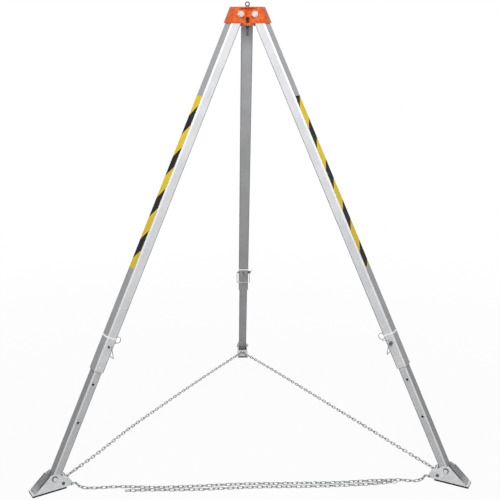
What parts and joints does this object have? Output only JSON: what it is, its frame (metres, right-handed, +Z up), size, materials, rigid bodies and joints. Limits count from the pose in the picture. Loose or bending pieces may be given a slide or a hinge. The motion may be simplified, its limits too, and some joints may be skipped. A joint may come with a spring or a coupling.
{
  "type": "rescue tripod",
  "caption": "Free-standing rescue tripod: folding, telescoping square-tube legs on an orange head with an anchor eye, hinged rubber-soled feet, and a spread-limiting foot chain.",
  "frame": {"origin": "point on the floor plumb below the anchor eye", "axes": "+Z up along the load line, +Y out towards the rear leg"},
  "size_m": [2.0432, 1.7696, 2.1674],
  "materials": {
    "orange_paint": "semi-gloss powder coat",
    "aluminium": "satin anodised",
    "galvanised": "galvanised",
    "dark_plate": "dark grip plate",
    "dark_steel": "black oxide",
    "zinc": "bright zinc",
    "chain": "bright zinc",
    "wire_rope": "wire rope",
    "rubber": "matte",
    "nylon": "matte",
    "tape": "yellow and black stripes"
  },
  "bodies": {
    "head": {"head_shell": "orange_paint", "hinge_bolts": "zinc", "hinge_nuts": "zinc", "anchor_eye": "dark_steel", "anchor_nut": "zinc", "top_eye": "dark_steel", "chain_left": "chain", "chain_right": "chain", "chain_front": "chain", "chain_tail": "chain", "quick_link": "zinc"},
    "upper_leg_rear": {"upper_tube_rear": "aluminium", "hinge_bush_rear": "zinc", "tube_liner_rear": "nylon", "liner_rivets_rear": "zinc", "safety_tape_rear": "tape", "clamp_band_rear": "zinc", "split_ring_rear": "dark_steel", "lanyard_rear": "wire_rope", "lock_pin_rear": "dark_steel"},
    "bail_rear": {"pin_bail_rear": "zinc"},
    "lower_leg_rear": {"lower_tube_rear": "aluminium"},
    "foot_rear": {"foot_shell_rear": "galvanised", "foot_ramp_rear": "dark_plate", "foot_sole_rear": "rubber", "foot_bolt_rear": "zinc", "chain_eye_rear": "zinc"},
    "upper_leg_left": {"upper_tube_left": "aluminium", "hinge_bush_left": "zinc", "tube_liner_left": "nylon", "liner_rivets_left": "zinc", "safety_tape_left": "tape", "clamp_band_left": "zinc", "split_ring_left": "dark_steel", "lanyard_left": "wire_rope", "lock_pin_left": "dark_steel"},
    "bail_left": {"pin_bail_left": "zinc"},
    "lower_leg_left": {"lower_tube_left": "aluminium"},
    "foot_left": {"foot_shell_left": "galvanised", "foot_ramp_left": "dark_plate", "foot_sole_left": "rubber", "foot_bolt_left": "zinc", "chain_eye_left": "zinc"},
    "upper_leg_right": {"upper_tube_right": "aluminium", "hinge_bush_right": "zinc", "tube_liner_right": "nylon", "liner_rivets_right": "zinc", "safety_tape_right": "tape", "clamp_band_right": "zinc", "split_ring_right": "dark_steel", "lanyard_right": "wire_rope", "lock_pin_right": "dark_steel"},
    "bail_right": {"pin_bail_right": "zinc"},
    "lower_leg_right": {"lower_tube_right": "aluminium"},
    "foot_right": {"foot_shell_right": "galvanised", "foot_ramp_right": "dark_plate", "foot_sole_right": "rubber", "foot_bolt_right": "zinc", "chain_eye_right": "zinc"}
  },
  "joints": [
    {"name": "fold_rear", "type": "hinge", "parent": "head", "child": "upper_leg_rear", "pos_m": [0, 0.057, 2.11094], "axis": [-1, 0, 0], "range_deg": [0, 24], "deforming": ["chain_left", "chain_right"]},
    {"name": "slide_rear", "type": "slide", "parent": "upper_leg_rear", "child": "lower_leg_rear", "axis": [0, -0.4352, 0.9003], "range_m": [0, 0.376], "deforming": ["chain_left", "chain_right"]},
    {"name": "foot_tilt_rear", "type": "hinge", "parent": "lower_leg_rear", "child": "foot_rear", "pos_m": [0, 1.05566, 0.0635], "axis": [-1, 0, 0], "range_deg": [-20, 20], "deforming": ["chain_left", "chain_right"]},
    {"name": "bail_swing_rear", "type": "hinge", "parent": "upper_leg_rear", "child": "bail_rear", "pos_m": [0.0355, 0.76556, 0.64523], "axis": [0, -0.9945, 0.1045], "range_deg": [0, 100]},
    {"name": "fold_left", "type": "hinge", "parent": "head", "child": "upper_leg_left", "pos_m": [-0.04936, -0.0285, 2.11094], "axis": [0.5, -0.866, 0], "range_deg": [0, 24], "deforming": ["chain_left", "chain_front"]},
    {"name": "slide_left", "type": "slide", "parent": "upper_leg_left", "child": "lower_leg_left", "axis": [0.3769, 0.2176, 0.9003], "range_m": [0, 0.376], "deforming": ["chain_left", "chain_front"]},
    {"name": "foot_tilt_left", "type": "hinge", "parent": "lower_leg_left", "child": "foot_left", "pos_m": [-0.91423, -0.52783, 0.0635], "axis": [0.5, -0.866, 0], "range_deg": [-20, 20], "deforming": ["chain_left", "chain_front"]},
    {"name": "bail_swing_left", "type": "hinge", "parent": "upper_leg_left", "child": "bail_left", "pos_m": [-0.68074, -0.35203, 0.64523], "axis": [0.8613, 0.4973, 0.1045], "range_deg": [0, 100]},
    {"name": "fold_right", "type": "hinge", "parent": "head", "child": "upper_leg_right", "pos_m": [0.04936, -0.0285, 2.11094], "axis": [0.5, 0.866, 0], "range_deg": [0, 24], "deforming": ["chain_right", "chain_front"]},
    {"name": "slide_right", "type": "slide", "parent": "upper_leg_right", "child": "lower_leg_right", "axis": [-0.3769, 0.2176, 0.9003], "range_m": [0, 0.376], "deforming": ["chain_right", "chain_front"]},
    {"name": "foot_tilt_right", "type": "hinge", "parent": "lower_leg_right", "child": "foot_right", "pos_m": [0.91423, -0.52783, 0.0635], "axis": [0.5, 0.866, 0], "range_deg": [-20, 20], "deforming": ["chain_right", "chain_front"]},
    {"name": "bail_swing_right", "type": "hinge", "parent": "upper_leg_right", "child": "bail_right", "pos_m": [0.64524, -0.41352, 0.64523], "axis": [-0.8613, 0.4973, 0.1045], "range_deg": [0, 100]}
  ]
}
